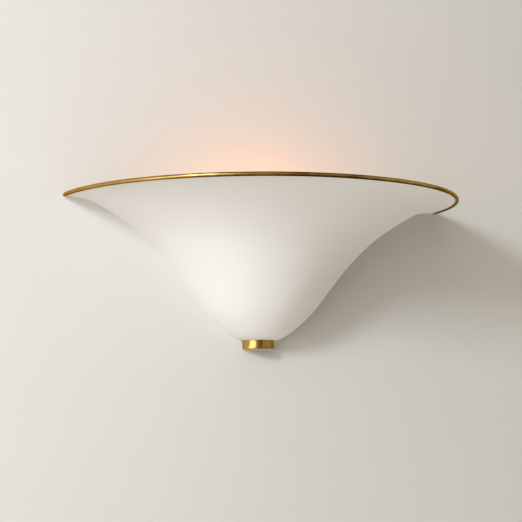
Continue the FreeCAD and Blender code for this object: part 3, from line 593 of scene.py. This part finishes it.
def clear_glass():
    """Drawn lamp glass with faint waves along the stem."""
    green, clear = (232, 240, 236), (246, 250, 248)
    finish = Finish("clear_glass")
    waves = finish.noise(glass_wave_size, detail=2, source=finish.stretched(glass_wave_stretch))
    finish.look(
        Base_Color=finish.blend(finish.ranged(waves, 0, 1), colour(*green), colour(*clear)),
        Roughness=finish.ranged(waves, *glass_wave_roughness),
        Normal=finish.bump(waves, glass_wave_depth),
        Transmission_Weight=1.0,
        IOR=1.5,
    )
    return finish.material


def lit_wire():
    """Hot tungsten, brightest in the middle of its span."""
    bright, dark = (120, 110, 100), (80, 72, 64)
    cool_glow, hot_glow = (255, 140, 50), (255, 220, 150)
    finish = Finish("filament_wire")
    apart = finish.vector("DISTANCE", finish.place, bulb_middle, output=1)
    heat = finish.ranged(apart, 1.0, 0.0, 0.0, bulb_radius)
    turns = finish.noise(wire_turn_size, detail=1)
    finish.look(
        Base_Color=finish.blend(turns, colour(*bright), colour(*dark)),
        Roughness=finish.ranged(turns, *wire_roughness),
        Metallic=1.0,
        Emission_Color=finish.blend(heat, colour(*cool_glow), colour(*hot_glow)),
        Emission_Strength=finish.ranged(heat, *wire_emission, 0, 1),
    )
    return finish.material


def plain_name(material):
    """The slot's name, without the number that a second material of that name has."""
    return material.name.split(".")[0]


def make_finishes():
    made = [
        shade_paint(), rim_metal(), finial_metal(),
        glazed("porcelain"), frosted_glass(), clear_glass(), lit_wire(),
        painted("plate_white", (238, 236, 230), (231, 228, 221), 0.5, 0.0012, 0.00004),
        painted("earth_green", (60, 128, 70), (36, 96, 48), 0.38, 0.0008, 0.00001, metallic=0.7),
        worn_metal("zinc_steel", (206, 209, 212), (150, 152, 150), 0.34, level_grain),
        worn_metal("thumb_brass", (214, 176, 104), (146, 104, 52), 0.28, upright_grain),
        worn_metal("tinned_copper", (214, 212, 206), (168, 140, 118), 0.32, upright_grain,
                   patch_size=0.003),
        worn_metal("contact_brass", (222, 186, 116), (150, 104, 56), 0.26, upright_grain),
        worn_metal("lamp_base_metal", (214, 211, 205), (160, 156, 148), 0.3, level_grain,
                   patch_size=0.008),
        worn_metal("lamp_contact", (190, 190, 188), (120, 118, 114), 0.4, level_grain, patch_size=0.002),
        worn_metal("support_wire", (170, 168, 162), (110, 104, 96), 0.36, upright_grain, patch_size=0.002),
        moulded("grommet_rubber", (34, 33, 32), (24, 23, 23), 0.68),
        moulded("block_plastic", (236, 232, 220), (226, 220, 204), 0.46),
        moulded("lamp_insulator", (30, 30, 34), (18, 18, 20), 0.16, grain_depth=0.000005),
        moulded("lead_black", (34, 34, 36), (24, 24, 26), 0.5),
        moulded("lead_white", (232, 230, 224), (220, 216, 206), 0.5),
        moulded("lead_green", (58, 130, 66), (40, 104, 50), 0.5),
    ]
    return {plain_name(material): material for material in made}


# Pieces that stand for nodes of the frame


def rippled(place):
    """The slight unevenness of spun sheet, which fades out at the lip and at the foot."""
    out = math.hypot(place.x, place.y)
    share = max(0.0, min(1.0, (out - foot_reach) / (lip_reach - foot_reach)))
    fade = math.sin(math.pi * share)
    depth = noise.noise(place / ripple_size) * ripple_depth * fade
    stretch = 1 + depth / max(out, foot_reach)
    return Vector((place.x * stretch, place.y * stretch, place.z))


def make_shade():
    """A bell's half, with its inner side one wall inside the outer one."""
    reach = lip_reach - foot_reach
    top = rim_level - shade_wall / 2
    drop = top - foot_level
    controls = [Vector((foot_reach + a * reach, top - b * drop)) for a, b in outline_shares]
    outer = clamped_line(controls, outline_degree, outline_steps)
    inner = moved_in(outer, shade_wall)
    foot_inside = Vector((0, foot_level + shade_wall))
    section = [Vector((0, foot_level))] + outer + inner[::-1] + [foot_inside]
    return half_lathe("shade", section, shade_turn_steps, rippled)


def make_rim_rod():
    """A round rod with a groove that takes the lip."""
    half = shade_wall / 2 + groove_gap
    opening = math.asin(half / rod_radius)
    start, end = math.pi + opening, 3 * math.pi - opening
    section = []
    for step in range(rod_round_steps + 1):
        angle = start + (end - start) * step / rod_round_steps
        out = rod_reach + rod_radius * math.cos(angle)
        section.append(Vector((out, rim_level + rod_radius * math.sin(angle))))
    mouth = section[0].x
    floor = lip_reach + groove_gap
    section += [
        Vector((mouth + groove_edge, rim_level + half)), Vector((floor, rim_level + half)),
        Vector((floor, rim_level - half)), Vector((mouth + groove_edge, rim_level - half)),
    ]
    return half_lathe("rim_rod", section, rod_turn_steps, rod_taper)


def make_finial():
    """A half disc, rounded below and half as much above."""
    section = [Vector((0, finial_high.z)), Vector((0, finial_low.z))]
    angles = [math.pi / 2 * step / finial_edge_steps for step in range(finial_edge_steps + 1)]
    edge = finial_edge
    for angle in angles:
        section.append(Vector((foot_reach - edge + edge * math.sin(angle),
                               finial_low.z + edge - edge * math.cos(angle))))
    edge = finial_edge / 2
    for angle in angles:
        section.append(Vector((foot_reach - edge + edge * math.cos(angle),
                               finial_high.z - edge + edge * math.sin(angle))))
    return half_lathe("finial", section, finial_turn_steps)


def stand_for(piece, node, slot, finishes):
    """Puts a piece in a node's place, on the fixture and in the node's finish."""
    piece.data.materials.append(finishes[slot])
    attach(piece, "fixture")
    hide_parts(node)


def dress_nodes(finishes):
    """Gives each node of the frame the finish of its own slot."""
    for node in frame["nodes"].values():
        for slot in node.material_slots:
            slot.material = finishes[plain_name(slot.material)]


# Room, lights and camera


def one_sided(name, grain_size, grain_depth):
    """A matte surface that isn't there when it is met from behind."""
    finish = Finish(name)
    cloud = finish.noise(wall_cloud_size, detail=4)
    grain = finish.noise(grain_size, detail=3)
    trowel = finish.noise(grain_size * trowel_share, detail=3)
    dull = tuple(value - dull_step for value in room_tint)
    finish.look(
        Base_Color=finish.blend(finish.ranged(cloud, 0, 1), colour(*dull), colour(*room_tint)),
        Roughness=0.9,
        Normal=finish.bump(trowel, grain_depth * trowel_depth_share, finish.bump(grain, grain_depth)),
    )
    behind = finish.add("ShaderNodeNewGeometry").outputs["Backfacing"]
    clear = finish.add("ShaderNodeBsdfTransparent").outputs[0]
    choice = finish.mixed(behind, finish.surface.outputs[0], clear)
    finish.put(finish.tree.nodes["Material Output"], Surface=choice)
    return finish.material


def make_plane(name, corners, material):
    data = bpy.data.meshes.new(name)
    data.from_pydata(corners, [], [(0, 1, 2, 3)])
    data.materials.append(material)
    piece = bpy.data.objects.new(name, data)
    bpy.context.scene.collection.objects.link(piece)
    return piece


def make_room():
    a, b, top = room_reach, wall_reach, room_height
    back, low = wall_gap, floor_level
    wall_corners = [(-b, back, low), (b, back, low), (b, back, top), (-b, back, top)]
    floor_corners = [(-a, -2 * a, low), (a, -2 * a, low), (a, back, low), (-a, back, low)]
    wall = make_plane("room_wall", wall_corners, one_sided("wall_paint", *wall_grain))
    floor = make_plane("room_floor", floor_corners, one_sided("floor_paint", *floor_grain))
    # Seen from behind, metal would show only the dark slit before the wall, so it shows the backdrop there
    wall.visible_glossy = False
    return wall, floor


def make_surroundings():
    """Soft light from above and the left, and a pale backdrop that metal and glass show too."""
    world = bpy.data.worlds.new("surroundings")
    bpy.context.scene.world = world
    world.use_nodes = True
    graph = Graph(world.node_tree)
    graph.tree.nodes.clear()
    x, y, z = graph.parts(graph.add("ShaderNodeTexCoord").outputs["Generated"])

    def background(tint, strength=1.0):
        node = graph.add("ShaderNodeBackground")
        graph.put(node, Color=tint, Strength=strength)
        return node.outputs[0]

    top = graph.scaled(sky_top, graph.math("MAXIMUM", z, 0.0))
    left = graph.scaled(sky_left, graph.math("MAXIMUM", graph.math("MULTIPLY", x, -1.0), 0.0))
    sky = graph.vector("ADD", top, left)

    rays = graph.add("ShaderNodeLightPath").outputs
    shiny = graph.math("MAXIMUM", rays["Is Glossy Ray"], rays["Is Transmission Ray"])
    shown = graph.math("MAXIMUM", rays["Is Camera Ray"], shiny)
    out = graph.add("ShaderNodeOutputWorld")
    graph.put(out, Surface=graph.mixed(shown, background(sky), background(colour(*backdrop_tint))))


def make_lamp(name, kind, place, power, tint):
    data = bpy.data.lights.new(name, kind)
    data.energy = power
    data.color = tint
    lamp = bpy.data.objects.new(name, data)
    lamp.location = place
    bpy.context.scene.collection.objects.link(lamp)
    return lamp


def make_window(name):
    """A rectangular lamp that faces the object's middle."""
    heading, height, distance, width, tall, power, tint = lamp_table[name]
    turn, rise = math.radians(heading), math.radians(height)
    out = math.cos(rise)
    place = Vector((math.sin(turn) * out, -math.cos(turn) * out, math.sin(rise))) * distance
    lamp = make_lamp(name, "AREA", place, power, tint)
    lamp.data.shape = "RECTANGLE"
    lamp.data.size, lamp.data.size_y = width, tall
    lamp.rotation_euler = (-place).to_track_quat("-Z", "Y").to_euler()
    return lamp


def set_apart(name, pieces, state):
    """A collection for a lamp's linking, in which each piece has the given state."""
    group = bpy.data.collections.new(name)
    for piece in pieces:
        group.objects.link(piece)
    for entry in group.collection_objects:
        entry.light_linking.link_state = state
    return group


def make_lights(room):
    """The windows, and the glow inside the lamp; fills light the object alone and don't show in metal."""
    for name in lamp_table:
        lamp = make_window(name)
        if name.endswith("fill"):
            lamp.visible_glossy = False
            lamp.light_linking.receiver_collection = set_apart(name + "_lights", room, "EXCLUDE")
            lamp.light_linking.blocker_collection = set_apart(name + "_passes", room, "EXCLUDE")
    glow = make_lamp("lamp_glow", "POINT", bulb_middle, glow_power, glow_tint)
    glow.data.shadow_soft_size = bulb_radius * glow_share
    glow.parent = frame["bodies"]["lamp"]
    for node in ("bulb_glass", "bulb_stem", "filament_supports", "bulb_filament"):
        frame["nodes"][node].visible_shadow = False


def make_camera():
    ahead = Vector((math.sin(camera_yaw) * math.cos(camera_pitch),
                    math.cos(camera_yaw) * math.cos(camera_pitch), math.sin(camera_pitch)))
    side = Vector((math.cos(camera_yaw), -math.sin(camera_yaw), 0))
    up = side.cross(ahead)
    right = side * math.cos(camera_roll) + up * math.sin(camera_roll)
    above = up * math.cos(camera_roll) - side * math.sin(camera_roll)
    data = bpy.data.cameras.new("camera")
    data.sensor_width = sensor_width
    data.lens = camera_lens
    camera = bpy.data.objects.new("camera", data)
    turned = Matrix((right, above, -ahead)).transposed().to_4x4()
    camera.matrix_world = Matrix.Translation(camera_place) @ turned
    bpy.context.scene.collection.objects.link(camera)
    bpy.context.scene.camera = camera


make_camera()
finishes = make_finishes()
dress_nodes(finishes)
stand_for(make_shade(), "shade_shell", "shade_white", finishes)
stand_for(make_rim_rod(), "rim_trim", "rim_brass", finishes)
stand_for(make_finial(), "finial_cap", "finial_brass", finishes)
make_surroundings()
make_lights(make_room())
bpy.context.scene.view_settings.view_transform = "Standard"
